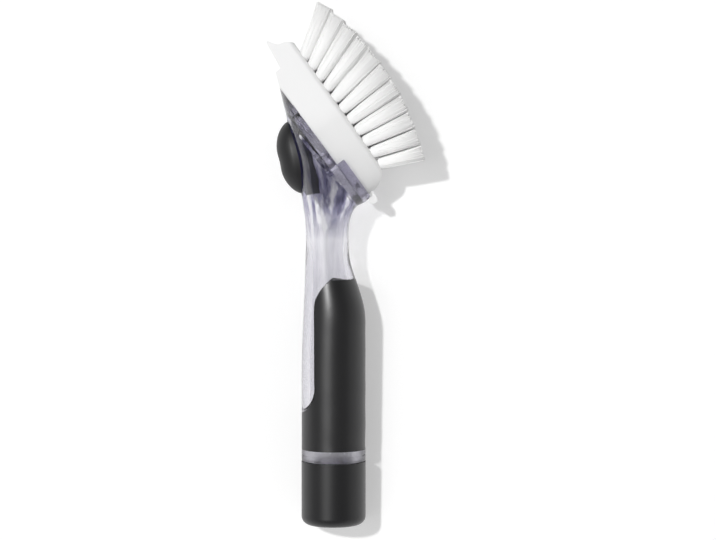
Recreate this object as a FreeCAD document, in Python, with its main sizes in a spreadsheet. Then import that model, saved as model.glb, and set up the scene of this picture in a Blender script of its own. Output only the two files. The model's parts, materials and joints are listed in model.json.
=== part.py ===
import FreeCAD, Part
import math
import os
import Sketcher

# A soap-dispensing dish wand lying on its side. The origin is the centre of the cap's end face,
# the handle runs along Y, the tufts point to the X side and the side seen from above faces Z.
# Lengths are millimetres and angles are degrees.
SIZES = {
    # screw cap
    "cap_radius": 16.5,
    "cap_length": 32.7,
    "cap_edge_round": 4.5,
    "cap_cover_wall": 1.6,
    "cap_end_wall": 6.0,
    "cap_core_wall": 1.3,
    "cap_core_end": 2.0,
    "cap_rim_gap": 0.4,
    "mould_gap": 0.1,
    # seal ring between the cap and the filler neck
    "seal_thickness": 2.0,
    "seal_width": 3.7,
    "seal_gap": 0.3,
    # filler neck and the clear ring below the grip
    "filler_radius": 12.5,
    "filler_wall": 1.8,
    "ring_radius": 16.4,
    "ring_length": 6.2,
    "ring_groove_depth": 0.5,
    "ring_groove_width": 0.7,
    # grip and reservoir
    "grip_radius": 16.4,
    "grip_length": 87.3,
    "grip_thickness": 1.9,
    "grip_gap": 0.2,
    "front_taper": 21.2,
    "back_taper": 51.0,
    "reservoir_wall": 2.0,
    "window_start": 18.0,
    "window_front": 9.2,
    "window_end_rise": 15.5,
    "window_top_front": 0.3,
    # narrow neck, measured from the handle's axis
    "neck_reach": 22.0,
    "neck_back": 14.2,
    "neck_front": 7.7,
    "neck_half_width": 12.0,
    # head shell and the plate that closes it
    "head_angle": 36.4,
    "head_length": 73.0,
    "head_half_width": 22.0,
    "toe_back": 27.6,
    "toe_rise": 76.0,
    "head_wall": 2.2,
    "plate_thickness": 3.9,
    "plate_toe_taper": 9.0,
    "plate_edge_taper": 0.8,
    "shoe_length": 23.4,
    "shoe_height": 4.5,
    "shoe_wall": 1.8,
    "rail_start": 12.0,
    "rail_length": 48.0,
    "rail_spread": 9.5,
    "rail_foot": 3.0,
    "rail_head": 5.0,
    "rail_height": 3.0,
    # pump button and its collar
    "button_length": 37.1,
    "button_toe_margin": 8.2,
    "button_half_width": 11.0,
    "button_height": 8.3,
    "button_skirt": 6.5,
    "button_travel": 3.0,
    "button_gap": 0.3,
    "button_dip": 0.6,
    "button_dip_radius": 22.0,
    "collar_wall": 1.4,
    "collar_depth": 10.0,
    # soap valve
    "valve_place": 45.1,
    "valve_bore": 4.2,
    "valve_gap": 0.2,
    "valve_recess": 0.6,
    "valve_flange": 1.2,
    "valve_flange_width": 1.6,
    "retainer_wall": 1.0,
    "retainer_floor": 1.2,
    # white brush block
    "block_gap": 0.3,
    "block_toe": 6.5,
    "block_height": 19.6,
    "block_heel_drop": 1.9,
    "block_edge_round": 2.5,
    "scraper_length": 21.7,
    "nose_root_angle": 107.0,
    "outlet_radius": 2.4,
    "latch_radius": 2.2,
    "latch_width": 6.0,
    "latch_rise": 4.6,
    "latch_reach": 1.4,
    "latch_finger": 1.6,
    # tufts
    "tuft_rows": 11,
    "tuft_start": -4.0,
    "tuft_pitch": 6.55,
    "tuft_cross_pitch": 6.9,
    "tuft_edge": 3.9,
    "tuft_radius": 2.15,
    "tuft_tip_radius": 4.1,
    "tuft_length": 36.0,
    "tuft_root": 8.0,
    "tuft_stem": 1.5,
    "tuft_gap": 0.15,
    "tuft_toe_angle": 31.0,
    "tuft_heel_angle": 22.0,
    "tuft_splay_angle": 6.0,
    "trim_toe_reach": 24.0,
    "trim_toe_height": 41.6,
    "trim_crown_place": 18.5,
    "trim_crown_height": 48.3,
    "trim_heel_place": 72.2,
    "trim_heel_height": 38.5,
    "anchor_width": 3.2,
    "anchor_height": 1.6,
    "anchor_thickness": 0.4,
    # how far every cut runs past what it cuts
    "overrun": 2.0,
}

doc = FreeCAD.newDocument("dish_wand")
sheet = doc.addObject("Spreadsheet::Sheet", "Sizes")
for row, (alias, number) in enumerate(SIZES.items(), start=1):
    sheet.set(f"A{row}", alias)
    sheet.set(f"B{row}", str(number))
    sheet.setAlias(f"B{row}", alias)
doc.recompute()


class Size:
    """A length with its value and the sheet expression that gives it."""

    def __init__(self, value, text):
        self.value = value
        self.text = text

    def joined(self, other, sign, value):
        text = other.text if isinstance(other, Size) else repr(other)
        return Size(value, f"({self.text} {sign} {text})")

    def __add__(self, other):
        return self.joined(other, "+", self.value + float(other))

    def __sub__(self, other):
        return self.joined(other, "-", self.value - float(other))

    def __mul__(self, other):
        return self.joined(other, "*", self.value * float(other))

    def __neg__(self):
        return Size(-self.value, f"(-{self.text})")

    def __float__(self):
        return self.value


def linked(alias):
    """A size that a sketch can be bound to."""
    return Size(float(sheet.get(alias)), f"Sizes.{alias}")


def size(alias):
    """A size as a plain number."""
    return float(sheet.get(alias))


def vector(x, y, z=0):
    return FreeCAD.Vector(float(x), float(y), float(z))


def between(start, end, share):
    return start + (end - start) * share


HALF_SHARE = 0.5
overrun = size("overrun")
mould_gap = size("mould_gap")

# Stations along the handle, from the cap's end
seal_start = linked("cap_end_wall") + linked("mould_gap") + linked("cap_core_end")
filler_end = seal_start + linked("seal_thickness")
ring_start = linked("cap_length") + linked("cap_rim_gap")
grip_start = linked("cap_length") + linked("ring_length")
grip_end = float(grip_start) + size("grip_length")
neck_station = grip_end + size("neck_reach")

# The head frame: X runs along the plate from toe to heel, Y points to the tufts, Z is shared
head_turn = size("head_angle") - 90
toe_point = vector(-size("toe_back"), neck_station + size("toe_rise"))
head_place = FreeCAD.Placement(toe_point, FreeCAD.Rotation(vector(0, 0, 1), head_turn))
head_length = size("head_length")
head_half_width = size("head_half_width")
plate_thickness = size("plate_thickness")

nodes = {}


def keep(label, obj, placement=None):
    """Register a finished piece under the name of its node."""
    obj.Label = label
    if placement is not None:
        obj.Placement = placement
    nodes[label] = obj
    return obj


def feature(label, shape, placement=None):
    """A piece whose shape is worked out with the kernel's own functions."""
    obj = doc.addObject("Part::Feature", label)
    obj.Shape = shape
    return keep(label, obj, placement)


# Revolved pieces: closed outlines of (radius, height) corners bound to the sheet

def draw_outline(sketch, corners):
    count = len(corners)
    for index, corner in enumerate(corners):
        following = corners[(index + 1) % count]
        sketch.addGeometry(Part.LineSegment(vector(*corner), vector(*following)), False)
    for index in range(count):
        following = (index + 1) % count
        sketch.addConstraint(Sketcher.Constraint("Coincident", index, 2, following, 1))
    for index, corner in enumerate(corners):
        for kind, axis, place in (("DistanceX", -2, corner[0]), ("DistanceY", -1, corner[1])):
            if float(place) == 0:
                sketch.addConstraint(Sketcher.Constraint("PointOnObject", index, 1, axis))
                continue
            near, far = (index, 1), (-1, 1)
            if float(place) > 0:
                near, far = far, near
            number = sketch.addConstraint(Sketcher.Constraint(kind, *near, *far, abs(float(place))))
            sketch.setExpression(f"Constraints[{number}]", f"abs({place.text})")


def revolved(name, corners):
    """A body made by turning an outline about the Y axis."""
    body = doc.addObject("PartDesign::Body", name)
    sketch = body.newObject("Sketcher::SketchObject", f"{name}_outline")
    plane = next(item for item in body.Origin.OriginFeatures if item.Role == "XY_Plane")
    sketch.AttachmentSupport = (plane, [""])
    sketch.MapMode = "FlatFace"
    draw_outline(sketch, corners)
    turn = body.newObject("PartDesign::Revolution", f"{name}_turn")
    turn.Profile = sketch
    turn.ReferenceAxis = (sketch, ["V_Axis"])
    body.Tip = turn
    doc.recompute()
    return body


def rounded_rim(body, radius, height, alias):
    """Round the circular edge of a body at a radius and height."""
    base = body.Tip
    edges = []
    for number, edge in enumerate(base.Shape.Edges, start=1):
        box = edge.BoundBox
        flat = abs(box.YMin - height) + abs(box.YMax - height) < mould_gap
        if flat and abs(box.XMax - radius) < mould_gap:
            edges.append(f"Edge{number}")
    fillet = body.newObject("PartDesign::Fillet", f"{body.Name}_round")
    fillet.Base = (base, edges)
    fillet.setExpression("Radius", f"Sizes.{alias}")
    body.Tip = fillet
    doc.recompute()


# Screw cap: a black cover moulded over a hard threaded cup
cap_radius = linked("cap_radius")
cap_length = linked("cap_length")
cover_bore = cap_radius - linked("cap_cover_wall")
core_radius = cover_bore - linked("mould_gap")
core_bore = core_radius - linked("cap_core_wall")
core_start = linked("cap_end_wall") + linked("mould_gap")
cap_cover = revolved("cap_cover", [
    (0, 0), (cap_radius, 0), (cap_radius, cap_length), (cover_bore, cap_length),
    (cover_bore, linked("cap_end_wall")), (0, linked("cap_end_wall"))])
rounded_rim(cap_cover, float(cap_radius), 0, "cap_edge_round")
keep("cap_cover", cap_cover)
cap_core = revolved("cap_core", [
    (0, core_start), (core_radius, core_start), (core_radius, cap_length), (core_bore, cap_length),
    (core_bore, seal_start), (0, seal_start)])
keep("cap_core", cap_core)

# Seal ring, pressed flat between the cup's floor and the end of the filler neck
seal_radius = core_bore - linked("seal_gap")
seal_bore = seal_radius - linked("seal_width")
keep("cap_seal", revolved("cap_seal", [
    (seal_bore, seal_start), (seal_radius, seal_start),
    (seal_radius, filler_end), (seal_bore, filler_end)]))

# Filler neck and the clear ring, later joined to the reservoir
filler_radius = linked("filler_radius")
filler_bore = filler_radius - linked("filler_wall")
ring_radius = linked("ring_radius")
groove_radius = ring_radius - linked("ring_groove_depth")
groove_start = (ring_start + grip_start) * HALF_SHARE
groove_end = groove_start + linked("ring_groove_width")
filler_neck = revolved("filler_neck", [
    (filler_bore, filler_end), (filler_radius, filler_end), (filler_radius, ring_start),
    (ring_radius, ring_start), (ring_radius, groove_start), (groove_radius, groove_start),
    (groove_radius, groove_end), (ring_radius, groove_end), (ring_radius, grip_start),
    (filler_bore, grip_start)])

# The handle's outside as a loft through oval rings. Each ring runs from a point on the back of the
# handle to a point on its front. Rings stand square across the grip, then lean over step by step
# along the neck until the last one lies on the head plate.
grip_radius = size("grip_radius")
neck_back = size("neck_back")
neck_front = size("neck_front")
neck_half_width = size("neck_half_width")
STRAIGHT_STEPS = 12
LEANING_STEPS = 8
FRONT_TAPER_END_SHARE = 0.8
THROAT_BACK_SHARE = 0.26
THROAT_FRONT_SHARE = 0.7
shell_toe = head_place.multVec(vector(size("plate_toe_taper"), -plate_thickness))
shell_heel = head_place.multVec(vector(head_length - size("plate_edge_taper"), -plate_thickness))
shell_half_width = head_half_width - size("plate_edge_taper")
neck_back_point = vector(-neck_back, neck_station)
neck_front_point = vector(neck_front, neck_station)


def eased(start, end, place):
    """How far a smooth change from start to end has come at a place."""
    share = min(1, max(0, (place - start) / (end - start)))
    return share * share * (3 - 2 * share)


def bent(start, end, rise_share, share):
    """A point on a curve that leaves start along the handle and ends at end."""
    knee = vector(start.x, between(start.y, end.y, rise_share))
    return between(between(start, knee, share), between(knee, end, share), share)


front_taper_end = between(grip_end, neck_station, FRONT_TAPER_END_SHARE)
seat_inset = size("grip_thickness") + size("grip_gap")
reservoir_inset = seat_inset + size("reservoir_wall")
head_wall = size("head_wall")
handle_rings = []
hollow_insets = []
for step in range(STRAIGHT_STEPS):
    station = between(float(grip_start), neck_station, step / STRAIGHT_STEPS)
    back_share = eased(grip_end - size("back_taper"), neck_station, station)
    front_share = eased(grip_end - size("front_taper"), front_taper_end, station)
    handle_rings.append((vector(-between(grip_radius, neck_back, back_share), station),
                         vector(between(grip_radius, neck_front, front_share), station),
                         between(grip_radius, neck_half_width, front_share)))
    hollow_insets.append(between(reservoir_inset, head_wall, eased(grip_end, neck_station, station)))
for step in range(LEANING_STEPS + 1):
    share = step / LEANING_STEPS
    handle_rings.append((bent(neck_back_point, shell_toe, THROAT_BACK_SHARE, share),
                         bent(neck_front_point, shell_heel, THROAT_FRONT_SHARE, share),
                         between(neck_half_width, shell_half_width, eased(0, 1, share))))
    hollow_insets.append(head_wall)
RING_POINTS = 12


def smooth_oval(middle, reach, width):
    """A closed smooth curve through points of the oval with these two half axes."""
    points = []
    for index in range(RING_POINTS):
        turn = 2 * math.pi * index / RING_POINTS
        points.append(middle + reach * math.cos(turn) + width * math.sin(turn))
    curve = Part.BSplineCurve()
    curve.interpolate(points, PeriodicFlag=True)
    return Part.Wire(curve.toShape())


def oval_ring(back, front, half_width, inset):
    """An oval wire across the handle, drawn in by an inset all round."""
    across = front - back
    middle = (back + front) * HALF_SHARE
    reach = across.Length * HALF_SHARE - inset
    across.normalize()
    return smooth_oval(middle, across * reach, vector(0, 0, half_width - inset))


def handle_loft(insets):
    rings = [oval_ring(*ring, inset) for ring, inset in zip(handle_rings, insets)]
    return Part.makeLoft(rings, True, False)


def even(inset):
    return [inset] * len(handle_rings)


handle_outside = handle_loft(even(0))
handle_core = handle_loft(even(seat_inset))
handle_hollow = handle_loft(hollow_insets)


def prism(edges, depth):
    """A side outline in the XY plane, carried half its depth to each side."""
    face = Part.Face(Part.Wire(edges))
    face.translate(vector(0, 0, -depth * HALF_SHARE))
    return face.extrude(vector(0, 0, depth))


def chain(*points):
    return [Part.LineSegment(a, b).toShape() for a, b in zip(points, points[1:])]


# Side outline of the grip: a full sleeve at its low end, then cut back along the clear window
BEND_IN_SHARES = (0.30, 0.32)
BEND_OUT_SHARES = (0.34, 0.66)
grip_reach = grip_radius + overrun
window_front = size("window_front")
window_low = vector(-grip_reach, float(grip_start) + size("window_start"))
window_bend = vector(-window_front, window_low.y + size("window_end_rise"))
window_high = vector(-window_front, grip_end - size("window_end_rise"))
window_top = vector(-size("window_top_front"), grip_end)
low_arc_point = vector(between(window_bend.x, window_low.x, BEND_IN_SHARES[0]),
                       between(window_low.y, window_bend.y, BEND_IN_SHARES[1]))
high_arc_point = vector(between(window_high.x, window_top.x, BEND_OUT_SHARES[0]),
                        between(window_high.y, window_top.y, BEND_OUT_SHARES[1]))
below_grip = float(grip_start) - overrun
grip_edges = [Part.Arc(window_low, low_arc_point, window_bend).toShape()]
grip_edges += chain(window_bend, window_high)
grip_edges.append(Part.Arc(window_high, high_arc_point, window_top).toShape())
grip_edges += chain(window_top, vector(grip_reach, grip_end), vector(grip_reach, below_grip),
                    vector(-grip_reach, below_grip), window_low)
grip_space = prism(grip_edges, 2 * grip_reach)
grip_sleeve = handle_outside.common(grip_space).cut(handle_loft(even(size("grip_thickness"))))
feature("grip_sleeve", grip_sleeve)

# Pump button frame: X runs up the back of the head shell, Y points out of it, Z is shared
BUTTON_FOOT_SHARE = 0.45
back_line = shell_toe - bent(neck_back_point, shell_toe, THROAT_BACK_SHARE, BUTTON_FOOT_SHARE)
button_turn = math.degrees(math.atan2(back_line.y, back_line.x))
back_line.normalize()
button_length = size("button_length")
button_foot = shell_toe - back_line * (size("button_toe_margin") + button_length)
button_place = FreeCAD.Placement(button_foot, FreeCAD.Rotation(vector(0, 0, 1), button_turn))
button_half_width = size("button_half_width")
button_gap = size("button_gap")


def plan_oval(start, end, half_width, height):
    """An oval wire in the plan of a frame, at a height along its Y axis."""
    middle = vector((start + end) * HALF_SHARE, height)
    return smooth_oval(middle, vector((end - start) * HALF_SHARE, 0), vector(0, 0, half_width))


def oval_prism(start, end, half_width, low, high):
    face = Part.Face(plan_oval(start, end, half_width, low))
    return face.extrude(vector(0, high - low))


def placed(shape, placement):
    copy = shape.copy()
    copy.Placement = placement.multiply(copy.Placement)
    return copy


def grown_button(margin, low, high):
    return oval_prism(-margin, button_length + margin, button_half_width + margin, low, high)


def clear_of_plate(gap):
    """The space behind the head plate, in the wand's frame."""
    reach = 2 * head_length
    box = Part.makeBox(2 * reach, reach, reach)
    box.translate(vector(-reach * HALF_SHARE, -reach - plate_thickness - gap, -reach * HALF_SHARE))
    return placed(box, head_place)


# The handle body: reservoir under the grip, clear window, neck and shell, with the pump's opening
collar_margin = button_gap + size("collar_wall")
button_opening = placed(grown_button(collar_margin + mould_gap, -size("collar_depth") - overrun, overrun),
                        button_place)
handle_shell = handle_core.fuse(handle_outside.cut(grip_space)).cut(handle_hollow)
handle_shell = handle_shell.cut(button_opening.common(clear_of_plate(size("head_wall"))))
feature("handle_body", filler_neck.Shape.fuse(handle_shell).removeSplitter())

# Collar that lines the opening, flush with the shell outside
collar = grown_button(collar_margin, -size("collar_depth"), overrun)
collar = collar.cut(grown_button(button_gap, -size("collar_depth") - overrun, 2 * overrun))
collar = placed(collar, button_place).common(handle_outside)
collar = collar.common(clear_of_plate(size("head_wall") + mould_gap))
feature("button_collar", collar)

# Pump button: a dome of ovals that close in as they rise, a thumb dip across it and a skirt below
DOME_RISE_SHARES = (0.0, 0.42, 0.74, 0.93, 1.0)
DOME_START_SHARES = (0.0, 0.075, 0.16, 0.25, 0.34)
DOME_END_SHARES = (1.0, 0.92, 0.86, 0.80, 0.73)
DOME_WIDTH_SHARES = (1.0, 0.93, 0.78, 0.58, 0.36)
DIP_PLACE_SHARE = 0.47
button_height = size("button_height")
dome_rings = []
for rise, start, end, width in zip(DOME_RISE_SHARES, DOME_START_SHARES, DOME_END_SHARES, DOME_WIDTH_SHARES):
    dome_rings.append(plan_oval(button_length * start, button_length * end,
                                button_half_width * width, button_height * rise))
button = Part.makeLoft(dome_rings, True, False)
dip_radius = size("button_dip_radius")
dip = Part.makeCylinder(dip_radius, 2 * button_half_width)
dip.translate(vector(button_length * DIP_PLACE_SHARE, button_height + dip_radius - size("button_dip"),
                     -button_half_width))
button = button.cut(dip)
inward = button_place.Rotation.multVec(vector(0, -1))
toward_plate = head_place.Rotation.inverted().multVec(inward).y
plate_room = size("button_travel") * toward_plate + button_gap
skirt = placed(grown_button(0, -size("button_skirt"), 0), button_place).common(clear_of_plate(plate_room))
feature("pump_button", placed(button, button_place).fuse(skirt).removeSplitter())

# Head plate: a tapered oval with heel walls, a notch for the latch, two rails and the valve's bore
shoe_wall = size("shoe_wall")
shoe_height = size("shoe_height")
latch_gap = size("block_gap")
latch_radius = size("latch_radius")
latch_rise = size("latch_rise")
plate = Part.makeLoft([
    plan_oval(size("plate_toe_taper"), head_length - size("plate_edge_taper"), shell_half_width,
              -plate_thickness),
    plan_oval(0, head_length, head_half_width, 0)], True, True)
shoe = oval_prism(0, head_length, head_half_width, 0, shoe_height)
shoe = shoe.cut(oval_prism(shoe_wall, head_length - shoe_wall, head_half_width - shoe_wall,
                           -overrun, shoe_height + overrun))
shoe_zone = Part.makeBox(size("shoe_length") + overrun, shoe_height, 2 * head_half_width)
shoe_zone.translate(vector(head_length - size("shoe_length"), 0, -head_half_width))
shoe = shoe.common(shoe_zone)
notch_width = size("latch_width") + 2 * latch_gap
notch = Part.makeBox(2 * latch_radius + shoe_wall + overrun, shoe_height, notch_width)
notch.translate(vector(head_length - shoe_wall - overrun, latch_rise - latch_radius - latch_gap,
                       -notch_width * HALF_SHARE))


def rail_bar(start, length, margin):
    """A dovetail bar along the plate, centred on the width."""
    foot = size("rail_foot") * HALF_SHARE + margin
    head = size("rail_head") * HALF_SHARE + margin
    top = size("rail_height") + margin
    corners = [vector(start, -margin, -foot), vector(start, top, -head),
               vector(start, top, head), vector(start, -margin, foot)]
    outline = Part.makePolygon(corners + corners[:1])
    return Part.Face(outline).extrude(vector(length, 0))


def both_sides(bar, spread):
    pair = []
    for side in (-spread, spread):
        copy = bar.copy()
        copy.translate(vector(0, 0, side))
        pair.append(copy)
    return pair


valve_place = size("valve_place")
valve_bore = size("valve_bore")
bore = Part.makeCylinder(valve_bore, plate_thickness + 2 * overrun,
                         vector(valve_place, -plate_thickness - overrun), vector(0, 1))
rails = both_sides(rail_bar(size("rail_start"), size("rail_length"), 0), size("rail_spread"))
head_plate = plate.fuse([shoe.cut(notch)] + rails).cut(bore).removeSplitter()
feature("head_plate", head_plate, head_place)

# Slit valve seated against the plate's inner face, and the cup ring that holds it there
valve_frame = head_place.multiply(FreeCAD.Placement(vector(valve_place, 0), FreeCAD.Rotation()))
plug_radius = linked("valve_bore") - linked("valve_gap")
flange_radius = linked("valve_bore") + linked("valve_flange_width")
plate_inner = -linked("plate_thickness")
flange_low = plate_inner - linked("valve_flange")
keep("soap_valve", revolved("soap_valve", [
    (0, flange_low), (flange_radius, flange_low), (flange_radius, plate_inner),
    (plug_radius, plate_inner), (plug_radius, -linked("valve_recess")), (0, -linked("valve_recess"))]),
    valve_frame)
cup_bore = flange_radius + linked("valve_gap")
cup_radius = cup_bore + linked("retainer_wall")
cup_low = flange_low - linked("retainer_floor")
keep("valve_retainer", revolved("valve_retainer", [
    (plug_radius, cup_low), (cup_radius, cup_low), (cup_radius, plate_inner),
    (cup_bore, plate_inner), (cup_bore, flange_low), (plug_radius, flange_low)]), valve_frame)

# White block: its side outline carried across, trimmed to an oval plan with a scraper nose
block_gap = size("block_gap")
block_heel = head_length - shoe_wall - block_gap
block_toe = size("block_toe")
block_half_width = head_half_width - shoe_wall - 2 * block_gap
block_height = size("block_height")
heel_height = block_height - size("block_heel_drop")
scraper_length = size("scraper_length")
LIP_RISE_SHARES = (0.15, 0.31)
SCRAPER_TIP_SHARES = (0.41, 0.47)
SCRAPER_NOTCH_SHARES = (0.79, 0.62)
SCRAPER_SCOOP_SHARES = (0.90, 0.53)
SCRAPER_BUMP_SHARES = (0.73, 0.84)
SCRAPER_CROWN_SHARES = (0.60, 0.985)
HEEL_ROUND_SHARE = 0.47
HEEL_BEND_SHARES = (0.135, 0.22)


def nose(shares):
    """A point of the scraper by its share of the nose's length and of the block's height."""
    return vector(-scraper_length * shares[0], block_height * shares[1])


top_toe = nose(SCRAPER_CROWN_SHARES)
lip_low = vector(-block_toe, block_height * LIP_RISE_SHARES[0])
lip_high = vector(-block_toe, block_height * LIP_RISE_SHARES[1])
tip_low = vector(-scraper_length, block_height * SCRAPER_TIP_SHARES[0])
tip_high = vector(-scraper_length, block_height * SCRAPER_TIP_SHARES[1])
notch_point = nose(SCRAPER_NOTCH_SHARES)
bump = nose(SCRAPER_BUMP_SHARES)
heel_side = vector(block_heel, heel_height * HEEL_ROUND_SHARE)
heel_top = vector(block_heel - heel_height * HEEL_ROUND_SHARE, heel_height)
heel_bend = vector(block_heel - heel_height * HEEL_BEND_SHARES[0], heel_height * (1 - HEEL_BEND_SHARES[1]))
side_edges = chain(vector(block_heel, block_gap), vector(0, block_gap), lip_low, lip_high, tip_low, tip_high)
side_edges.append(Part.Arc(tip_high, nose(SCRAPER_SCOOP_SHARES), notch_point).toShape())
side_edges += chain(notch_point, bump, top_toe, heel_top)
side_edges.append(Part.Arc(heel_top, heel_bend, heel_side).toShape())
side_edges += chain(heel_side, vector(block_heel, block_gap))
block = prism(side_edges, 2 * head_half_width)

# Plan of the block: an oval round the heel whose sides run straight on to the scraper's edge
OVAL_STEPS = 12
nose_root_turn = math.radians(size("nose_root_angle"))
plan_middle = (block_heel - block_toe) * HALF_SHARE
plan_reach = (block_heel + block_toe) * HALF_SHARE


def plan_point(turn):
    return vector(plan_middle + plan_reach * math.cos(turn), -overrun, block_half_width * math.sin(turn))


def plan_tangent(turn):
    return vector(-plan_reach * math.sin(turn), 0, block_half_width * math.cos(turn))


nose_root = plan_point(nose_root_turn)
nose_line = plan_tangent(nose_root_turn)
nose_taper = nose_line.z / nose_line.x


def plan_half_width(place):
    """Half the width of the block's plan at a place along it."""
    if place < nose_root.x:
        return nose_root.z - (nose_root.x - place) * nose_taper
    inside = max(0, 1 - ((place - plan_middle) / plan_reach) ** 2)
    return block_half_width * math.sqrt(inside)


oval_curve = Part.BSplineCurve()
oval_curve.interpolate(
    Points=[plan_point(nose_root_turn * between(-1, 1, step / OVAL_STEPS)) for step in range(OVAL_STEPS + 1)],
    InitialTangent=plan_tangent(-nose_root_turn), FinalTangent=nose_line)
nose_end = -scraper_length - overrun
nose_corner = vector(nose_end, -overrun, plan_half_width(nose_end))
far_corner = vector(nose_end, -overrun, -nose_corner.z)
plan_edges = [oval_curve.toShape()]
plan_edges += chain(nose_root, nose_corner, far_corner, plan_point(-nose_root_turn))
plan = Part.Face(Part.Wire(plan_edges)).extrude(vector(0, block_height + 2 * overrun))
block = block.common(plan)


def crown_edges(solid):
    """Edges along the sides of the top face, which soft hands and sponges meet."""
    top = max(solid.Faces, key=lambda face: face.CenterOfMass.y)
    return [edge for edge in top.Edges if edge.BoundBox.XLength > overrun]


block = block.makeFillet(size("block_edge_round"), crown_edges(block))

# Latch: a springy finger over the shoe's heel wall, ending in a knob across the width
latch_place = head_length + size("latch_reach")
latch_width = size("latch_width")
finger_root = block_heel - size("latch_finger") - overrun
finger = Part.makeBox(latch_place - finger_root, size("latch_finger"), latch_width)
latch_side = -latch_width * HALF_SHARE
finger.translate(vector(finger_root, latch_rise + latch_radius - size("latch_finger"), latch_side))
knob = Part.makeCylinder(latch_radius, latch_width, vector(latch_place, latch_rise, latch_side))
block = block.fuse([finger, knob])

# Grooves for the rails and the soap outlet
groove_start_place = size("rail_start") - block_gap
groove_length = block_heel - groove_start_place + overrun
grooves = both_sides(rail_bar(groove_start_place, groove_length, block_gap), size("rail_spread"))
outlet = Part.makeCylinder(size("outlet_radius"), block_height + 2 * overrun,
                           vector(valve_place, -overrun), vector(0, 1))
block = block.cut(grooves + [outlet])

# Tufts: rows across the block, fanned from toe to heel and splayed a little to the sides
tuft_rows = int(size("tuft_rows"))
tuft_pitch = size("tuft_pitch")
tuft_start = size("tuft_start")
tuft_radius = size("tuft_radius")
tuft_root = size("tuft_root")
tuft_stem = size("tuft_stem")
HOLE_SIDES = 8
hole_reach = (tuft_radius + size("tuft_gap")) / math.cos(math.pi / HOLE_SIDES)
anchor_height = size("anchor_height")
tuft_length = size("tuft_length")


def top_height(place):
    """Height of the block's top face at a place along it."""
    return between(top_toe.y, heel_top.y, (place - top_toe.x) / (heel_top.x - top_toe.x))


def row_places(place):
    """Places across one row, leaving the soap outlet free."""
    reach = plan_half_width(place) - size("tuft_edge")
    count = int(2 * reach / size("tuft_cross_pitch")) + 1
    if count == 1:
        return [0]
    places = [between(-reach, reach, index / (count - 1)) for index in range(count)]
    free = size("outlet_radius") + hole_reach + size("tuft_gap")
    return [side for side in places if math.hypot(place - valve_place, side) > free]


def tuft_direction(share, side):
    fan = math.radians(between(-size("tuft_toe_angle"), size("tuft_heel_angle"), share))
    splay = math.radians(size("tuft_splay_angle")) * side / block_half_width
    lean = vector(math.sin(fan), math.cos(fan), math.tan(splay))
    lean.normalize()
    return lean


def tuft_hole(bottom, lean, depth):
    """A hole round a tuft's stem, with few sides because it repeats and is filled."""
    seat = FreeCAD.Placement(bottom, FreeCAD.Rotation(vector(0, 0, 1), lean))
    turns = [2 * math.pi * corner / HOLE_SIDES for corner in range(HOLE_SIDES + 1)]
    corners = [seat.multVec(vector(math.cos(turn), math.sin(turn)) * hole_reach) for turn in turns]
    return Part.Face(Part.makePolygon(corners)).extrude(lean * depth)


# The tufts are cut to one smooth arc from toe to heel
trim_toe = vector(-size("trim_toe_reach"), size("trim_toe_height"))
trim_crown = vector(size("trim_crown_place"), size("trim_crown_height"))
trim_heel = vector(size("trim_heel_place"), size("trim_heel_height"))
trim_edges = [Part.Arc(trim_toe, trim_crown, trim_heel).toShape()]
trim_edges += chain(trim_heel, vector(trim_heel.x, 0), vector(trim_toe.x, 0), trim_toe)
tuft_space = prism(trim_edges, 2 * head_length)
holes = []
anchors = []
for number in range(tuft_rows):
    place = tuft_start + number * tuft_pitch
    share = number / (tuft_rows - 1)
    tufts = []
    for side in row_places(place):
        foot = vector(place, top_height(place), side)
        lean = tuft_direction(share, side)
        bottom = foot - lean * (tuft_root + anchor_height + size("tuft_gap"))
        holes.append(tuft_hole(bottom, lean, foot.distanceToPoint(bottom) + overrun))
        stem = Part.makeCylinder(tuft_radius, tuft_root + tuft_stem, foot - lean * tuft_root, lean)
        brush = Part.makeCone(tuft_radius, size("tuft_tip_radius"), tuft_length - tuft_stem,
                              foot + lean * tuft_stem, lean)
        tufts.append(stem.fuse(brush))
        anchor = Part.makeBox(size("anchor_width"), size("anchor_thickness"), anchor_height)
        anchor.translate(vector(-size("anchor_width"), -size("anchor_thickness")) * HALF_SHARE)
        anchor.Placement = FreeCAD.Placement(
            bottom, FreeCAD.Rotation(vector(0, 0, 1), lean)).multiply(anchor.Placement)
        anchors.append(anchor)
    row = Part.makeCompound(tufts).common(tuft_space)
    feature(f"tuft_row_{number + 1:02d}", row, head_place)
feature("tuft_anchors", Part.makeCompound(anchors), head_place)
feature("brush_block", block.cut(holes), head_place)

# The wand lies on its cap's rim and on the side of its wider head, so its axis slopes a little
contact_run = shell_heel.y + (shell_toe.y - shell_heel.y) * HALF_SHARE
slope = math.degrees(math.asin((head_half_width - float(cap_radius)) / contact_run))
lying = FreeCAD.Placement(vector(0, 0), FreeCAD.Rotation(vector(1, 0, 0), slope))
for node in nodes.values():
    node.Placement = lying.multiply(node.Placement)
doc.recompute()

for item in doc.Objects:
    if "Invalid" in item.State or "Error" in item.State:
        raise RuntimeError(f"{item.Name} failed: {item.State}")
os.makedirs("parts", exist_ok=True)
for label, node in nodes.items():
    if node.Shape.isNull() or not node.Shape.isValid():
        raise RuntimeError(f"{label} has no valid shape")
for label, node in nodes.items():
    node.Shape.exportStep(os.path.join("parts", f"{label}.step"))
    print(label, len(node.Shape.Solids), "solids", round(node.Shape.Volume, 1), "mm3")
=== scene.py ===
# %% [markdown]
# # A soap-dispensing dish wand
#
# The wand lies on its side on a pale table and is seen from straight above. Its solids come from
# the imported frame, and this lesson gives them their finishes and adds what a solid can't show:
# bundles of filaments, a rubber dome, and the thread under the cap.

# %% Load the frame
import json
import math
import random
import bmesh
import bpy
import numpy as np
from mathutils import Matrix, Vector
from mathutils.geometry import intersect_line_sphere_2d


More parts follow.
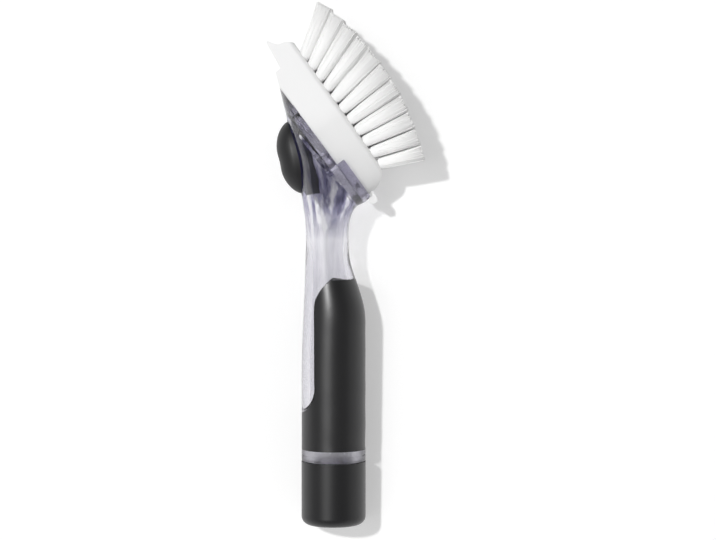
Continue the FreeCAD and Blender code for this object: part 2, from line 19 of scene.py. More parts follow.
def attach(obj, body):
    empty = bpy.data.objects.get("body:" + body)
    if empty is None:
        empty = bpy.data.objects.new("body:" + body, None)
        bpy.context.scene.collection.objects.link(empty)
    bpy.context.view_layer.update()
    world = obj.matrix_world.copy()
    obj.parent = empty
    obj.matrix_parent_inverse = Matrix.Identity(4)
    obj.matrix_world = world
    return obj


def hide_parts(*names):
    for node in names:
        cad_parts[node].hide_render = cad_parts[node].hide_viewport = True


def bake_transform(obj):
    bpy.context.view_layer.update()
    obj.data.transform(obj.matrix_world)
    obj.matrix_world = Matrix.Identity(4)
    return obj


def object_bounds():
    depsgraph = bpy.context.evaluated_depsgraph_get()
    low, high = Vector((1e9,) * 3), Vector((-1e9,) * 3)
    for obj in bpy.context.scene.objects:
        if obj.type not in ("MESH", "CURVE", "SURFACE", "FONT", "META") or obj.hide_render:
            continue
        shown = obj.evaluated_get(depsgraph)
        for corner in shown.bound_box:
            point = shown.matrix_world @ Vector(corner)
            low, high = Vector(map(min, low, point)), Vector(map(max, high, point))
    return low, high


bpy.ops.wm.read_factory_settings(use_empty=True)
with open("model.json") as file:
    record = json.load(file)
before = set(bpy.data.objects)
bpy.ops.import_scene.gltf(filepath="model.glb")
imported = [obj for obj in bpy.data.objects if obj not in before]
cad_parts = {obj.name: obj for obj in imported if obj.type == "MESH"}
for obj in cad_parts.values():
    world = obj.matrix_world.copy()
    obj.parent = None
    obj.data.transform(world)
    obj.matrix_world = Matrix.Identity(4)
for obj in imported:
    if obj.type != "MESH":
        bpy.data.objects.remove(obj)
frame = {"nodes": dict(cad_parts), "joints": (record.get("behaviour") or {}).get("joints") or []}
cad_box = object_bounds()
scene = bpy.context.scene
MM = 0.001

# %% [markdown]
# ## Three small frames to work in
#
# Everything on the wand lines up with its handle, its head plate or its pump button. The joints of
# the frame already hold those directions: the cap turns about the handle, the brush block slides
# along the plate and the button is pressed square to the back of the head. Each frame has X and Y
# in the wand's side view and Z towards the camera side, so shapes can be drawn as they are seen.

# %% Frames from the joints
joints = {joint["name"]: joint for joint in frame["joints"]}
along = -Vector(joints["cap_turn"]["axis"]).normalized()
heelward = -Vector(joints["head_slide"]["axis"]).normalized()
inward = Vector(joints["button_press"]["axis"]).normalized()
across = Vector((1, 0, 0))
side = across.cross(along)
tuftward = side.cross(heelward)
uphead = side.cross(inward)


def span(node, axis):
    """How far a node reaches along an axis, lowest and highest."""
    places = [axis.dot(vertex.co) for vertex in frame["nodes"][node].data.vertices]
    return min(places), max(places)


def axes_at(x, y, z, origin):
    matrix = Matrix((x, y, z)).transposed().to_4x4()
    matrix.translation = origin
    return matrix


PLATE_THICKNESS = 3.9 * MM
BUTTON_HEIGHT = 8.3 * MM
plate_toe = span("head_plate", heelward)[0]
plate_face = span("head_plate", tuftward)[0] + PLATE_THICKNESS
button_foot, button_end = span("pump_button", uphead)
button_base = -span("pump_button", -inward)[1] + BUTTON_HEIGHT
wand = axes_at(across, along, side, Vector())
head = axes_at(heelward, tuftward, side, heelward * plate_toe + tuftward * plate_face)
button = axes_at(uphead, -inward, side, uphead * button_foot + inward * button_base)
print("button length, mm", round((button_end - button_foot) / MM, 1))

# %% [markdown]
# ## Camera
#
# The picture was taken from above with a long lens, so the handle's sides stay parallel. One pixel
# covers about half a millimetre at the handle's axis, and the camera looks straight down at the
# middle of the picture with its top towards the head.

# %% Camera over the table
IMAGE_WIDTH = 716
IMAGE_HEIGHT = 540
MM_PER_PIXEL = 0.515
AXIS_PIXEL = 333.6
CAP_END_PIXEL = 524.0
CAMERA_HEIGHT = 1.0
frame_width = IMAGE_WIDTH * MM_PER_PIXEL * MM
camera_x = (IMAGE_WIDTH / 2 - AXIS_PIXEL) * MM_PER_PIXEL * MM
camera_y = (CAP_END_PIXEL - IMAGE_HEIGHT / 2) * MM_PER_PIXEL * MM
camera_data = bpy.data.cameras.new("camera")
camera_data.sensor_width = 36
camera_data.lens = camera_data.sensor_width * CAMERA_HEIGHT / frame_width
camera = bpy.data.objects.new("camera", camera_data)
camera.location = (camera_x, camera_y, CAMERA_HEIGHT)
scene.collection.objects.link(camera)
scene.camera = camera
print("lens, mm", round(camera_data.lens, 1))

# %% [markdown]
# ## Light
#
# A small soft lamp stands up and to the left, about 26 degrees off the vertical, and throws the
# fairly crisp grey shadow to the lower right. Clear plastic stops only part of its light. Letting
# the plastic cast no shadow at all would be simpler, but then the neck has none. So the lamp is a
# pair in one place: one half throws every shadow, and the clear nodes don't block the other half.

# %% Lamp
KEY_DIRECTION = Vector((-0.41, 0.27, 1.0)).normalized()
KEY_DISTANCE = 4.0
KEY_SIZE = 0.18
KEY_POWER = 96.0
CLEAR_PASSES = 0.5
CLEAR_NODES = ("handle_body", "head_plate", "valve_retainer")
middle = Vector((camera_x, camera_y, 0))


def key_lamp(name, share):
    lamp_data = bpy.data.lights.new(name, "AREA")
    lamp_data.energy = KEY_POWER * share
    lamp_data.size = KEY_SIZE
    lamp = bpy.data.objects.new(name, lamp_data)
    lamp.location = middle + KEY_DIRECTION * KEY_DISTANCE
    lamp.rotation_euler = KEY_DIRECTION.to_track_quat("Z", "Y").to_euler()
    scene.collection.objects.link(lamp)
    return lamp


key_lamp("key", 1 - CLEAR_PASSES)
passing = key_lamp("key through clear", CLEAR_PASSES)
let_through = bpy.data.collections.new("clear nodes let through")
for node in CLEAR_NODES:
    let_through.objects.link(frame["nodes"][node])
for entry in let_through.collection_objects:
    entry.light_linking.link_state = "EXCLUDE"
passing.light_linking.blocker_collection = let_through
print("lamp pair, watts", KEY_POWER)

# %% [markdown]
# ## Surround
#
# The surround is a pale grey band all round, brighter towards the cap, that fades to dark overhead.
# It keeps the shadow and the sides of the tufts pale, the clear plastic bends it into grey edges,
# and the tops of the black pieces stay black. A soft box up on the left draws the long highlight on
# the grip and cap. All three are levels that depend on where a ray looks.

# %% Surround
SURROUND_LOW = 0.55
SURROUND_OVERHEAD = 0.2
SURROUND_RISE = (0.3, 0.7)
SURROUND_SIDES = (0.3, 1.8)
SURROUND_BRIGHT_SIDE = Vector((0.35, -1, 0)).normalized()
SOFTBOX_DIRECTION = Vector((-0.45, 0, 0.89)).normalized()
SOFTBOX_EDGE = (0.93, 0.985)
SOFTBOX_GLOW = 1.6
UP = Vector((0, 0, 1))
world = bpy.data.worlds.new("surround")
world.use_nodes = True
sky = world.node_tree
look = sky.nodes.new("ShaderNodeTexCoord")


def level_towards(direction, turns, levels, curve):
    """A level that goes from one value to another as a look turns towards a direction."""
    turn = sky.nodes.new("ShaderNodeVectorMath")
    turn.operation = "DOT_PRODUCT"
    turn.inputs[1].default_value = direction
    level = sky.nodes.new("ShaderNodeMapRange")
    level.interpolation_type = curve
    level.inputs["From Min"].default_value, level.inputs["From Max"].default_value = turns
    level.inputs["To Min"].default_value, level.inputs["To Max"].default_value = levels
    sky.links.new(look.outputs["Generated"], turn.inputs[0])
    sky.links.new(turn.outputs["Value"], level.inputs["Value"])
    return level.outputs["Result"]


band = level_towards(UP, SURROUND_RISE, (SURROUND_LOW, SURROUND_OVERHEAD), "SMOOTHSTEP")
softbox = level_towards(SOFTBOX_DIRECTION, SOFTBOX_EDGE, (0, SOFTBOX_GLOW), "SMOOTHSTEP")
sides = level_towards(SURROUND_BRIGHT_SIDE, (-1, 1), SURROUND_SIDES, "LINEAR")
both = sky.nodes.new("ShaderNodeMath")
backdrop = sky.nodes["Background"]
sky.links.new(band, both.inputs[0])
sky.links.new(softbox, both.inputs[1])
sky.links.new(both.outputs["Value"], backdrop.inputs["Color"])
sky.links.new(sides, backdrop.inputs["Strength"])
scene.world = world
scene.view_settings.view_transform = "Standard"
print("surround, low and overhead", SURROUND_LOW, SURROUND_OVERHEAD)

# %% [markdown]
# ## Table
#
# One flat square under the wand. It is a mid-pale grey for the light that it throws back, and it is
# lifted to white where the camera, a reflection or the clear plastic shows it, further down.

# %% Table
TABLE_COLOUR = (0.72, 0.72, 0.72)
TABLE_LIFT = 0.36
TABLE_REACH = 3.0
table_bm = bmesh.new()
table_at = Matrix.Translation((middle.x, middle.y, cad_box[0][2]))
bmesh.ops.create_grid(table_bm, x_segments=1, y_segments=1, size=TABLE_REACH, matrix=table_at)
table_mesh = bpy.data.meshes.new("table")
table_bm.to_mesh(table_mesh)
table_bm.free()
table = bpy.data.objects.new("table", table_mesh)
scene.collection.objects.link(table)
print("table, mm below the origin", round(-cad_box[0][2] / MM, 1))

# %% [markdown]
# ## Finishes
#
# Each finish is one Principled shader. Values that are the same all over sit on its own sockets,
# and only what varies over the surface, such as grain or mottling, comes from texture nodes on
# Object coordinates. Image textures would do as well, but these keep the file in one piece.

# %% Helpers for shaders

def finish(name, colour, roughness, **sockets):
    """A material with plain values on its shader."""
    material = bpy.data.materials.new(name)
    material.use_nodes = True
    shader = shader_of(material)
    shader.inputs["Base Color"].default_value = (*colour, 1)
    shader.inputs["Roughness"].default_value = roughness
    for socket, value in sockets.items():
        shader.inputs[socket.replace("_", " ")].default_value = value
    return material


def shader_of(material):
    return material.node_tree.nodes["Principled BSDF"]


def link(material, output, socket):
    material.node_tree.links.new(output, socket)


def add_node(material, kind, **inputs):
    node = material.node_tree.nodes.new(kind)
    for socket, value in inputs.items():
        node.inputs[socket.replace("_", " ")].default_value = value
    return node


def speckle(material, scale, stretch=(1, 1, 1)):
    """Noise on Object coordinates, as cells about one over scale metres wide."""
    place = add_node(material, "ShaderNodeTexCoord")
    drawn = add_node(material, "ShaderNodeMapping", Scale=stretch)
    texture = add_node(material, "ShaderNodeTexNoise", Scale=scale)
    link(material, place.outputs["Object"], drawn.inputs["Vector"])
    link(material, drawn.outputs["Vector"], texture.inputs["Vector"])
    return texture


# %% Helpers for what varies over a surface

def grain(material, scale, depth, strength):
    """Fine moulded grain as a bump."""
    texture = speckle(material, scale)
    bump = add_node(material, "ShaderNodeBump", Strength=strength, Distance=depth)
    link(material, texture.outputs["Fac"], bump.inputs["Height"])
    link(material, bump.outputs["Normal"], shader_of(material).inputs["Normal"])


def ramp(material, value, start, end, low, high):
    """Carry a value from one range to another, without leaving it."""
    node = add_node(material, "ShaderNodeMapRange", From_Min=start, From_Max=end, To_Min=low, To_Max=high)
    link(material, value, node.inputs["Value"])
    return node.outputs["Result"]


def mottle(material, socket, scale, low, high):
    """Let a socket drift between two values over the surface."""
    drift = ramp(material, speckle(material, scale).outputs["Fac"], 0, 1, low, high)
    link(material, drift, shader_of(material).inputs[socket])


def colour_mix(material, dark, light, factor):
    mix = add_node(material, "ShaderNodeMix")
    mix.data_type = "RGBA"
    colours = [socket for socket in mix.inputs if socket.type == "RGBA"]
    colours[0].default_value = (*dark, 1)
    colours[1].default_value = (*light, 1)
    result = next(socket for socket in mix.outputs if socket.type == "RGBA")
    link(material, factor, mix.inputs["Factor"])
    link(material, result, shader_of(material).inputs["Base Color"])


def tint(material, scale, dark, light):
    """Let the colour drift between two near shades."""
    colour_mix(material, dark, light, speckle(material, scale).outputs["Fac"])


# %% Helpers for clear plastic

def math_node(material, operation, first, *numbers):
    """A sum on one linked value and plain numbers."""
    node = add_node(material, "ShaderNodeMath")
    node.operation = operation
    link(material, first, node.inputs[0])
    for socket, number in zip(node.inputs[1:], numbers):
        socket.default_value = number
    return node


def place_along(material):
    """How far a point lies along the handle, in metres."""
    place = add_node(material, "ShaderNodeTexCoord")
    way = add_node(material, "ShaderNodeVectorMath")
    way.operation = "DOT_PRODUCT"
    way.inputs[1].default_value = along
    link(material, place.outputs["Object"], way.inputs[0])
    return way.outputs["Value"]


def absorb(material, colour, density):
    """Tint a clear material by the thickness that light passes through."""
    depth = add_node(material, "ShaderNodeVolumeAbsorption", Color=(*colour, 1), Density=density)
    link(material, depth.outputs["Volume"], material.node_tree.nodes["Material Output"].inputs["Volume"])


# %% [markdown]
# ## Clear plastic
#
# The shell is thick, moulded and clear, with a faint lavender tint where light passes through much
# of it. Its head shows dark and white streaks, which are painted reflections and refractions: a noise
# drawn out along the handle paints them into the colour, and it calms down in the narrow neck. A
# dimmer, rougher band is the ring by the cap. The head plate is the same plastic, frosted by fine ribs.

# %% Clear plastic
PLASTIC_IOR = 1.49
CLEAR_ROUGHNESS = 0.02
RING_ROUGHNESS = 0.35
PAINTED_STREAK_SCALE = 160
PAINTED_STREAK_STRETCH = (1, 0.07, 1)
PAINTED_STREAK_EDGES = (0.40, 0.5)
NECK_END, HEAD_START = 0.146, 0.164
NECK_CALM = 0.9
clear_plastic = finish("clear plastic", (0.97, 0.97, 0.985), CLEAR_ROUGHNESS, IOR=PLASTIC_IOR,
                       Transmission_Weight=1.0)
absorb(clear_plastic, (0.52, 0.50, 0.58), 54)
grain(clear_plastic, 60, 0.0002, 0.03)
# Painted reflections and refractions: a stretched noise darkens the base colour in streaks, and the neck
# is kept nearly clear.
painted_streak_noise = speckle(clear_plastic, PAINTED_STREAK_SCALE, PAINTED_STREAK_STRETCH).outputs["Fac"]
painted_streaks = ramp(clear_plastic, painted_streak_noise, *PAINTED_STREAK_EDGES, 0, 1)
calm = ramp(clear_plastic, place_along(clear_plastic), NECK_END, HEAD_START, NECK_CALM, 0)
painted_streaks_seen = math_node(clear_plastic, "MAXIMUM", painted_streaks)
link(clear_plastic, calm, painted_streaks_seen.inputs[1])
colour_mix(clear_plastic, (0.20, 0.19, 0.33), (0.99, 0.99, 1), painted_streaks_seen.outputs["Value"])
ring_low, ring_high = span("cap_cover", along)[1], span("grip_sleeve", along)[0]
ring_middle, ring_half = (ring_low + ring_high) / 2, (ring_high - ring_low) / 2
in_ring = math_node(clear_plastic, "COMPARE", place_along(clear_plastic), ring_middle, ring_half)
frost = ramp(clear_plastic, in_ring.outputs["Value"], 0, 1, CLEAR_ROUGHNESS, RING_ROUGHNESS)
link(clear_plastic, frost, shader_of(clear_plastic).inputs["Roughness"])
print("ring, mm along the handle", round(ring_low / MM, 1), "to", round(ring_high / MM, 1))

# %% Frosted plate
frosted_plastic = finish("frosted plastic", (0.64, 0.62, 0.74), 0.14, IOR=PLASTIC_IOR,
                         Transmission_Weight=1.0)
tint(frosted_plastic, 900, (0.22, 0.21, 0.30), (0.80, 0.78, 0.90))
grain(frosted_plastic, 700, 0.0001, 0.5)
print("clear finishes", len(bpy.data.materials))

# %% [markdown]
# ## Black, grey and dark pieces
#
# Grip, cap and dome are near-black rubber with a fine grain and a gloss that drifts a little from
# place to place. The cap's cup shows through the ring as a lavender grey, and the collar behind the
# dome as a deep navy.

# %% Black, grey and dark pieces
FINE_GRAIN = 0.00002
soft_black = finish("soft black grip", (0.009, 0.009, 0.010), 0.36, Specular_IOR_Level=0.6)
grain(soft_black, 3500, FINE_GRAIN, 0.25)
mottle(soft_black, "Roughness", 60, 0.33, 0.39)
cap_black = finish("black cap", (0.008, 0.008, 0.009), 0.36, Specular_IOR_Level=0.55)
grain(cap_black, 3500, FINE_GRAIN, 0.2)
mottle(cap_black, "Roughness", 70, 0.33, 0.39)
dome_rubber = finish("dome rubber", (0.008, 0.008, 0.009), 0.48)
grain(dome_rubber, 2500, FINE_GRAIN, 0.2)
mottle(dome_rubber, "Roughness", 80, 0.44, 0.52)
inner_dark = finish("dark collar", (0.010, 0.009, 0.036), 0.6, Specular_IOR_Level=0.1)
mottle(inner_dark, "Roughness", 90, 0.55, 0.65)
grain(inner_dark, 1500, FINE_GRAIN, 0.2)
core_grey = finish("lavender grey core", (0.40, 0.385, 0.48), 0.4)
tint(core_grey, 60, (0.37, 0.355, 0.45), (0.43, 0.415, 0.51))
grain(core_grey, 1500, FINE_GRAIN, 0.2)
print("with black and dark", len(bpy.data.materials))

# %% [markdown]
# ## White pieces and small ones
#
# The block is a satin white plastic that lets a little light in, and the filaments are white nylon.
# Subsurface on the filaments would make them darker, so they are plainly white. The seal and valve
# are pale silicone and the anchors brass.

# %% White pieces and small ones
SKIN_DEPTH = (0.002, 0.002, 0.002)
white_plastic = finish("white plastic", (0.85, 0.85, 0.85), 0.5, Subsurface_Weight=0.1,
                       Subsurface_Radius=SKIN_DEPTH)
tint(white_plastic, 45, (0.84, 0.84, 0.84), (0.86, 0.86, 0.86))
grain(white_plastic, 1200, FINE_GRAIN, 0.12)
nylon = finish("nylon filament", (0.96, 0.96, 0.955), 0.6)
tint(nylon, 500, (0.95, 0.95, 0.945), (0.97, 0.97, 0.965))
silicone = finish("pale silicone", (0.72, 0.72, 0.71), 0.5)
tint(silicone, 80, (0.69, 0.69, 0.68), (0.75, 0.75, 0.74))
grain(silicone, 900, 0.00003, 0.2)
brass = finish("anchor brass", (0.72, 0.58, 0.32), 0.3, Metallic=1.0)
tint(brass, 400, (0.66, 0.53, 0.28), (0.78, 0.63, 0.36))
grain(brass, 2000, FINE_GRAIN, 0.2)
print("with white and small", len(bpy.data.materials))

# %% [markdown]
# ## Table's finish
#
# The background is white because the table glows a little for the rays that show it, and not
# because more light falls on the wand. Light that the table throws back at the wand has no glow.

# %% Table's finish

def lift_when_seen(material, strength):
    """Let a surface glow a little for the camera, for reflections and through clear pieces."""
    path = add_node(material, "ShaderNodeLightPath")
    glow = path.outputs["Is Camera Ray"]
    for ray in ("Is Glossy Ray", "Is Transmission Ray"):
        either = math_node(material, "MAXIMUM", glow)
        link(material, path.outputs[ray], either.inputs[1])
        glow = either.outputs["Value"]
    level = math_node(material, "MULTIPLY", glow, strength)
    link(material, level.outputs["Value"], shader_of(material).inputs["Emission Strength"])


table_finish = finish("table", TABLE_COLOUR, 0.9, Specular_IOR_Level=0.0, Emission_Color=(1, 1, 1, 1))
lift_when_seen(table_finish, TABLE_LIFT)
table_mesh.materials.append(table_finish)
print("table lift", TABLE_LIFT)

# %% Finishes onto the solids
CAD_FINISHES = {
    "handle_body": clear_plastic, "head_plate": frosted_plastic, "grip_sleeve": soft_black,
    "cap_cover": cap_black, "cap_core": core_grey, "button_collar": inner_dark,
    "cap_seal": silicone, "soap_valve": silicone, "valve_retainer": clear_plastic,
    "brush_block": white_plastic, "tuft_anchors": brass,
}
for node, material in CAD_FINISHES.items():
    frame["nodes"][node].data.materials[0] = material
print("finishes", len(bpy.data.materials))

# %% [markdown]
# ## Pieces
#
# A new piece starts as a bmesh, becomes a mesh at the origin and takes a finish; most then ride a body.

# %% Helper for pieces

def piece(name, bm, material, replaced=()):
    mesh = bpy.data.meshes.new(name)
    bm.to_mesh(mesh)
    bm.free()
    mesh.materials.append(material)
    mesh.shade_smooth()
    made = bpy.data.objects.new(name, mesh)
    scene.collection.objects.link(made)
    if replaced:
        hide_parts(*replaced)
    print(name, len(mesh.polygons), "faces")
    return made


def ring_run(bm, rings, segments):
    """A skin drawn through rings: each ring is the last one, extruded and moved to its new place."""
    circle = bmesh.ops.create_circle(bm, segments=segments, radius=1, matrix=rings[0])
    edges = list({edge for vertex in circle["verts"] for edge in vertex.link_edges})
    for last, following in zip(rings, rings[1:]):
        grown = bmesh.ops.extrude_edge_only(bm, edges=edges)["geom"]
        moved = [item for item in grown if isinstance(item, bmesh.types.BMVert)]
        edges = [item for item in grown if isinstance(item, bmesh.types.BMEdge)
                 and all(vertex in moved for vertex in item.verts)]
        bmesh.ops.transform(bm, matrix=following @ last.inverted(), verts=moved)
    return edges


# %% [markdown]
# ## Rubber pump button
#
# The real button is one silicone dome fixed at its edge. It is drawn as rings that close in on the
# crown. Each ring's height follows a flat-topped dome with a shallow thumb dip, as the photo shows
# in profile.

# %% Pump button
BUTTON_HALF_WIDTH = 11.0 * MM
BUTTON_SKIRT = 5.5 * MM
DOME_POWER = 2.6
DOME_EASE = 0.72
DIP_DEPTH = 0.075
DIP_PLACE = 0.47
DIP_WIDTH = 0.12
LOW_HUMP = 0.035
DOME_RINGS = 18
DOME_SEGMENTS = 96
button_length = button_end - button_foot


def dome_ring(scale, height):
    """A flat oval of the button, as a matrix for a unit circle."""
    centre = Matrix.Translation((button_length / 2, height, 0))
    turn = Matrix.Rotation(math.pi / 2, 4, "X")
    size = Matrix.Diagonal((scale * button_length / 2, scale * BUTTON_HALF_WIDTH, 1, 1))
    return button @ centre @ turn @ size


def dome_height(place, radius):
    swell = max(0, 1 - radius ** DOME_POWER) ** DOME_EASE
    dip = DIP_DEPTH * math.exp(-((place - DIP_PLACE) / DIP_WIDTH) ** 2)
    low = LOW_HUMP * max(0, DIP_PLACE - place) / DIP_PLACE
    return BUTTON_HEIGHT * swell * (1 - dip - low)


dome_bm = bmesh.new()
dome_rings = [dome_ring(1, -BUTTON_SKIRT), dome_ring(1, -BUTTON_SKIRT / 2)]
dome_rings += [dome_ring(math.cos(step / DOME_RINGS * math.pi / 2), 0) for step in range(DOME_RINGS)]
crown = ring_run(dome_bm, dome_rings, DOME_SEGMENTS)
bmesh.ops.contextual_create(dome_bm, geom=crown)
to_button = button.inverted()
for vertex in dome_bm.verts:
    local = to_button @ vertex.co
    if local.y > -BUTTON_SKIRT / 4:
        place = local.x / button_length
        radius = math.hypot(2 * place - 1, local.z / BUTTON_HALF_WIDTH)
        vertex.co = button @ Vector((local.x, dome_height(place, min(1, radius)), local.z))
bmesh.ops.recalc_face_normals(dome_bm, faces=dome_bm.faces)
dome = piece("pump_dome", dome_bm, dome_rubber, ["pump_button"])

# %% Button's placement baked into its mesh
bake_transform(dome)

# %% [markdown]
# ## Screw thread and valve slit
#
# The cap climbs 5 mm a turn. Its thread is a small profile spun about the handle's axis with a step
# along it, once outside the filler neck and once, half a turn on, inside the cap's cup. A Screw
# modifier could do it too, but spin gives the mesh at once. The soap valve opens through a cross of
# two slits in its face.

# %% Threads
PITCH = 5.0 * MM
THREAD_TURNS = 2.5
THREAD_STEPS = 48
THREAD_HALF_WIDTH = 0.9 * MM
THREAD_CREST = 0.6 * MM
THREAD_SIDES = 6
THREAD_START = 4 * MM
NECK_RADIUS = 12.5 * MM
CUP_RADIUS = 13.5 * MM
THREAD_TOP = span("cap_core", along)[1] - THREAD_START


def thread(name, radius, phase, material, body):
    bm = bmesh.new()
    at = Matrix.Rotation(phase, 4, "Y") @ Matrix.Translation((radius, THREAD_TOP, 0))
    size = Matrix.Diagonal((THREAD_CREST, THREAD_HALF_WIDTH, 1, 1))
    bmesh.ops.create_circle(bm, segments=THREAD_SIDES, radius=1, matrix=wand @ at @ size)
    bmesh.ops.spin(bm, geom=bm.verts[:] + bm.edges[:], cent=wand.translation, axis=-along,
                   dvec=-along * PITCH / THREAD_STEPS, angle=THREAD_TURNS * 2 * math.pi,
                   steps=round(THREAD_TURNS * THREAD_STEPS))
    bmesh.ops.holes_fill(bm, edges=bm.edges)
    bmesh.ops.recalc_face_normals(bm, faces=bm.faces)
    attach(piece(name, bm, material), body)


thread("neck_thread", NECK_RADIUS, 0, clear_plastic, "handle")
thread("cap_thread", CUP_RADIUS, math.pi, core_grey, "end_cap")

# %% Valve slit
VALVE_PLACE = 45.1 * MM
VALVE_RECESS = 0.6 * MM
SLIT_HALF_LENGTH = 2.4 * MM
SLIT_HALF_WIDTH = 0.16 * MM
SLIT_DEPTH = 0.3 * MM
SLIT_LIP = 0.05 * MM
SLIT_SIDES = 16
slit_bm = bmesh.new()
for quarter in (0, math.pi / 2):
    slit_rings = []
    for height in (-VALVE_RECESS - SLIT_DEPTH, -VALVE_RECESS + SLIT_LIP):
        at = Matrix.Translation((VALVE_PLACE, height, 0)) @ Matrix.Rotation(quarter, 4, "Y")
        size = Matrix.Diagonal((SLIT_HALF_LENGTH, SLIT_HALF_WIDTH, 1, 1))
        flat = Matrix.Rotation(math.pi / 2, 4, "X") @ size
        slit_rings.append(head @ at @ flat)
    bmesh.ops.contextual_create(slit_bm, geom=ring_run(slit_bm, slit_rings, SLIT_SIDES))
bmesh.ops.recalc_face_normals(slit_bm, faces=slit_bm.faces)
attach(piece("valve_slit", slit_bm, inner_dark), "handle")

# %% [markdown]
# ## Tufts
#
# Each tuft is a bundle of nylon filaments folded into its hole. The field is cut to one smooth arc,
# given here by three points over the plate, but each tuft also ends nearly square to its own lean,
# so the edge is a little jagged. The solids give every tuft's root and lean. Hair particles could
# make the filaments, but they have no mesh of their own, so thin curves with a bevel are used, with
# a few faces each. A pale core fills the middle of a bundle, where they can't be told apart.

# %% Tuft axes from the solids

def islands(node):
    """Groups of points, one for each separate solid of a node."""
    bm = bmesh.new()
    bm.from_mesh(frame["nodes"][node].data)
    bmesh.ops.remove_doubles(bm, verts=bm.verts, dist=MM / 1000)
    unseen = set(bm.verts)
    groups = []
    while unseen:
        queue = [unseen.pop()]
        points = []
        while queue:
            vertex = queue.pop()
            points.append(vertex.co.copy())
            for edge in vertex.link_edges:
                other = edge.other_vert(vertex)
                if other in unseen:
                    unseen.remove(other)
                    queue.append(other)
        groups.append(points)
    bm.free()
    return groups


def average(points):
    return sum(points, Vector()) / len(points)


TUFT_ROOT = 8.0 * MM
TUFT_STEM = 1.5 * MM
RING_MARGIN = 2.5 * MM


def root_and_lean(points):
    """The middle of a tuft's lowest ring, and the way from there to the ring where it flares."""
    lowest = min(tuftward.dot(point) for point in points)
    root = average([point for point in points if tuftward.dot(point) < lowest + RING_MARGIN])
    stem = TUFT_ROOT + TUFT_STEM
    bend = [point for point in points if abs((point - root).length - stem) < RING_MARGIN]
    return root, (average(bend) - root).normalized()


TUFT_ROWS = sorted(node for node in frame["nodes"] if node.startswith("tuft_row"))
tufts = {node: [root_and_lean(points) for points in islands(node)] for node in TUFT_ROWS}
print("tufts", sum(len(row) for row in tufts.values()))

# %% The arc that the tufts are cut to
TRIM_TOE = Vector((-24.0, 41.6)) * MM
TRIM_CROWN = Vector((18.5, 48.3)) * MM
TRIM_HEEL = Vector((72.2, 38.5)) * MM
chords = np.array([TRIM_CROWN - TRIM_TOE, TRIM_HEEL - TRIM_TOE])
trim_centre = Vector(np.linalg.solve(chords, (chords ** 2).sum(axis=1) / 2)) + TRIM_TOE
trim_radius = (TRIM_TOE - trim_centre).length
print("trim radius, mm", round(trim_radius / MM, 1))
to_head = head.inverted()


def reach_to_trim(start, line):
    """How many times a line fits between a start and the arc."""
    low = (to_head @ start).xy
    step = (to_head @ (start + line)).xy - low
    crossings = intersect_line_sphere_2d(low, low + step, trim_centre, trim_radius, False)
    return max((crossing - low).dot(step) for crossing in crossings) / step.length_squared


# %% Filaments
FILAMENTS = 110
FILAMENT_RADIUS = 0.19 * MM
BUNDLE_RADIUS = 2.2 * MM
SWELL = 0.75 * MM
SWELL_RISE = 0.8 * MM
FLARE = 0.058
SIDE_FLARE = 0.045
TIP_SCATTER = 0.1 * MM
LENGTH_SCATTER = 0.012
SQUARE_CUT = 0.7
CUT_SCATTER = 0.008
BOW = 0.15 * MM
RIM_POWER = 0.35
GOLDEN_TURN = math.pi * (3 - math.sqrt(5))
TURN_SCATTER = 0.3
draw = random.Random(7)


def stray(amount):
    return Vector((draw.gauss(0, 1), draw.gauss(0, 1), draw.gauss(0, 1))) * amount


def side_axes(lean):
    """The ways along and across the head that are square to a lean."""
    across_lean = lean.cross(heelward).normalized()
    return across_lean.cross(lean), across_lean


def bundle_size(rise):
    """Half the bundle's length and width at a height over the hole: a quick swell, then a flare."""
    radius = BUNDLE_RADIUS + SWELL * min(1, max(0, rise / SWELL_RISE))
    return radius + FLARE * max(0, rise), radius + SIDE_FLARE * max(0, rise)


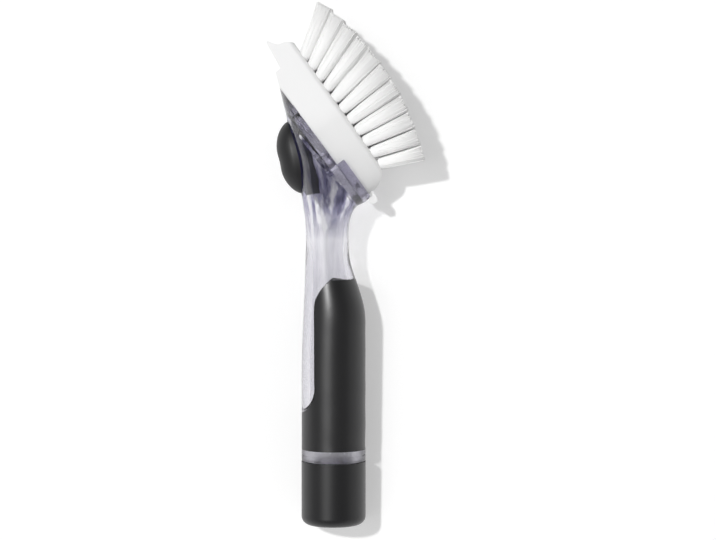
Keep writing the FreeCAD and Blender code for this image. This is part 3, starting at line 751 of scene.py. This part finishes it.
def filament_points(root, lean, cut, number):
    """A slightly bowed line from the bundle's foot out to between the arc and the tuft's square cut."""
    u, v = side_axes(lean)
    turn = number * GOLDEN_TURN + draw.uniform(-TURN_SCATTER, TURN_SCATTER)
    share = ((number + 0.5) / FILAMENTS) ** RIM_POWER
    u, v = u * share * math.cos(turn), v * share * math.sin(turn)
    low = []
    for rise in (-TUFT_STEM, 0, SWELL_RISE):
        long, wide = bundle_size(rise)
        low.append(root + lean * (TUFT_ROOT + rise) + u * long + v * wide)
    line = lean + u * FLARE + v * SIDE_FLARE
    reach = (1 - SQUARE_CUT) * reach_to_trim(low[-1], line) + SQUARE_CUT * cut
    end = low[-1] + line * reach * (1 - abs(draw.gauss(0, LENGTH_SCATTER)))
    return low + [low[-1].lerp(end, 0.5) + stray(BOW), end + stray(TIP_SCATTER)]


def bundle(name, row):
    curve = bpy.data.curves.new(name, "CURVE")
    curve.dimensions = "3D"
    curve.bevel_depth = FILAMENT_RADIUS
    curve.bevel_resolution = 0
    curve.use_fill_caps = True
    curve.resolution_u = 2
    for root, lean in row:
        swollen = root + lean * (TUFT_ROOT + SWELL_RISE)
        cut = reach_to_trim(swollen, lean) * (1 - abs(draw.gauss(0, CUT_SCATTER)))
        for number in range(FILAMENTS):
            points = filament_points(root, lean, cut, number)
            spline = curve.splines.new("NURBS")
            spline.points.add(len(points) - 1)
            for control, place in zip(spline.points, points):
                control.co = (*place, 1)
            spline.order_u = 3
            spline.use_endpoint_u = True
    holder = bpy.data.objects.new(name, curve)
    scene.collection.objects.link(holder)
    bpy.context.view_layer.update()
    mesh = bpy.data.meshes.new_from_object(holder)
    bpy.data.objects.remove(holder)
    bm = bmesh.new()
    bm.from_mesh(mesh)
    return bm


print("filaments in a tuft", FILAMENTS)

# %% Cores and rows
CORE_SHARE = 1.0
CORE_REACH = 0.96
CORE_SEGMENTS = 14


def add_core(bm, root, lean):
    foot = root + lean * TUFT_ROOT
    u, v = side_axes(lean)
    rings = []
    for rise in (-TUFT_STEM, 0, SWELL_RISE, reach_to_trim(foot, lean) * CORE_REACH):
        long, wide = bundle_size(rise)
        rings.append(axes_at(u * long * CORE_SHARE, v * wide * CORE_SHARE, lean, foot + lean * rise))
    bmesh.ops.contextual_create(bm, geom=ring_run(bm, rings, CORE_SEGMENTS))


for node, row in tufts.items():
    row_bm = bundle(f"{node}_filaments", row)
    for root, lean in row:
        add_core(row_bm, root, lean)
    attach(piece(f"{node}_filaments", row_bm, nylon, [node]), "brush_head")
